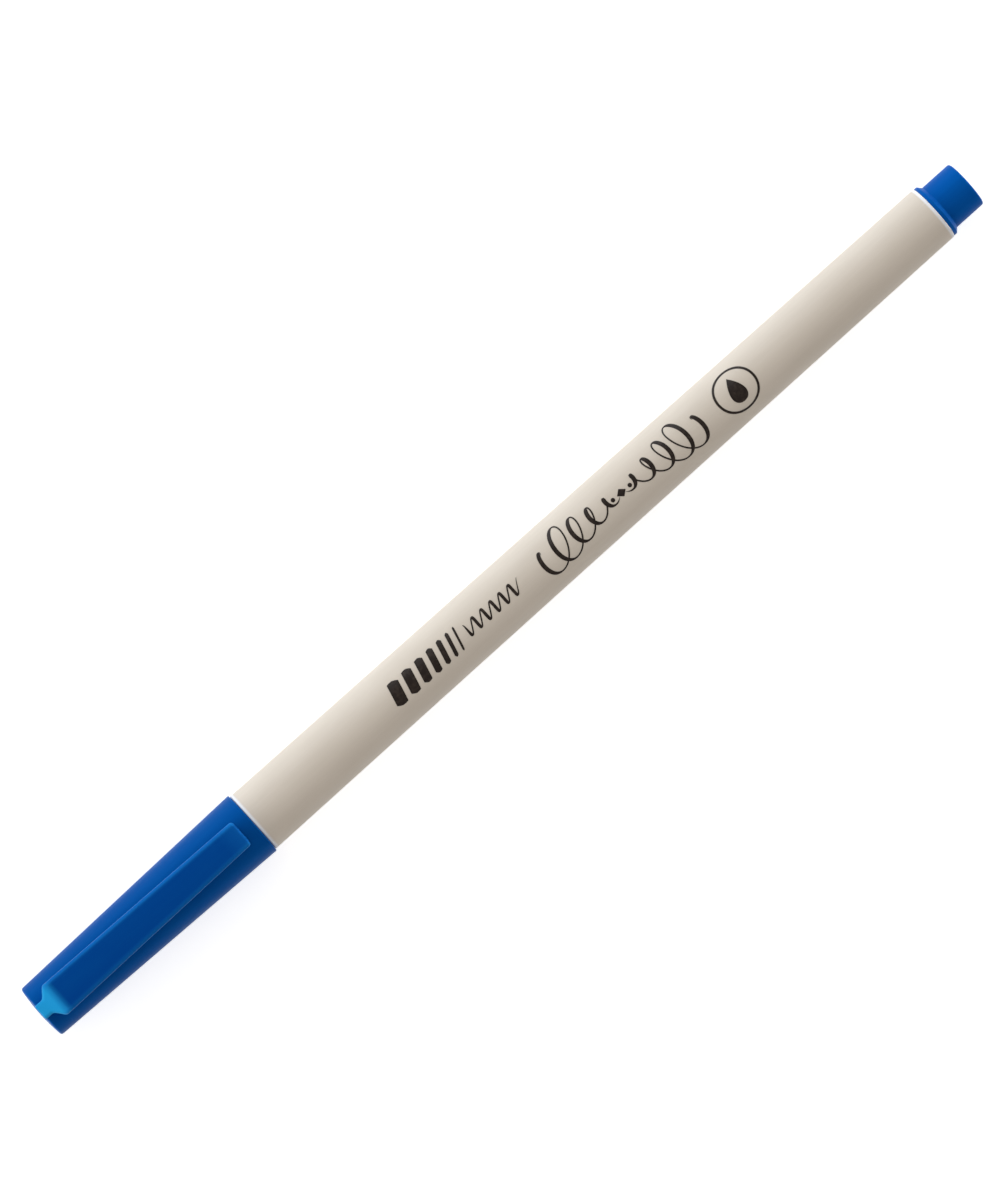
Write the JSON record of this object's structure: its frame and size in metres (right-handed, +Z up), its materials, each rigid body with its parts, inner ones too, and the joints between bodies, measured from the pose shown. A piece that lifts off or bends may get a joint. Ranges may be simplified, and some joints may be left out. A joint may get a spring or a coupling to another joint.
{
  "type": "calligraphy brush pen",
  "caption": "Slim capped brush pen with a blue cap and flat clip, a tapered light grey barrel with print, and a blue tail plug.",
  "frame": {"origin": "on the surface that the pen lies on, under the middle of its length; the cap's widest round part touches it", "axes": "+X along the pen from the cap's closed end to the tail plug, +Z up towards the clip, +Y to the side"},
  "size_m": [0.165, 0.0096, 0.0116],
  "materials": {
    "cap_plastic": "glossy blue moulded plastic",
    "barrel_plastic": "satin warm light grey moulded plastic with dark brown pad print",
    "plug_plastic": "glossy blue moulded plastic",
    "liner_plastic": "milky white soft plastic",
    "print_ink": "dark brown pad print",
    "nose_plastic": "satin warm light grey moulded plastic",
    "nib_felt": "flexible felt soaked with blue ink",
    "filler_fibre": "bonded fibre soaked with blue ink",
    "filler_film": "clear thin film"
  },
  "bodies": {
    "barrel": {"barrel": "barrel_plastic", "tail_plug": "plug_plastic", "nose_cone": "nose_plastic", "nib_shaft": "nib_felt", "ink_reservoir": "filler_fibre", "reservoir_film": "filler_film"},
    "brush_tip": {"brush_tip": "nib_felt"},
    "inner_cap": {"inner_cap": "liner_plastic"},
    "cap": {"cap": "cap_plastic"},
    "clip": {"clip": "cap_plastic"}
  },
  "joints": [
    {"name": "cap_pull", "type": "slide", "parent": "barrel", "child": "inner_cap", "axis": [-1, 0, 0], "range_m": [0, 0.05]},
    {"name": "cap_turn", "type": "hinge", "parent": "inner_cap", "child": "cap", "pos_m": [-0.0825, 0, 0.00485], "axis": [1, 0, 0], "continuous": true},
    {"name": "clip_flex", "type": "hinge", "parent": "cap", "child": "clip", "pos_m": [-0.0787, 0, 0.0109], "axis": [0, -1, 0], "range_deg": [0, 4.5], "stiffness_Nm_per_rad": 0.5},
    {"name": "nib_bend", "type": "hinge", "parent": "barrel", "child": "brush_tip", "pos_m": [-0.0685, 0, 0.00485], "axis": [0, 1, 0], "range_deg": [-15, 15], "stiffness_Nm_per_rad": 0.027}
  ]
}
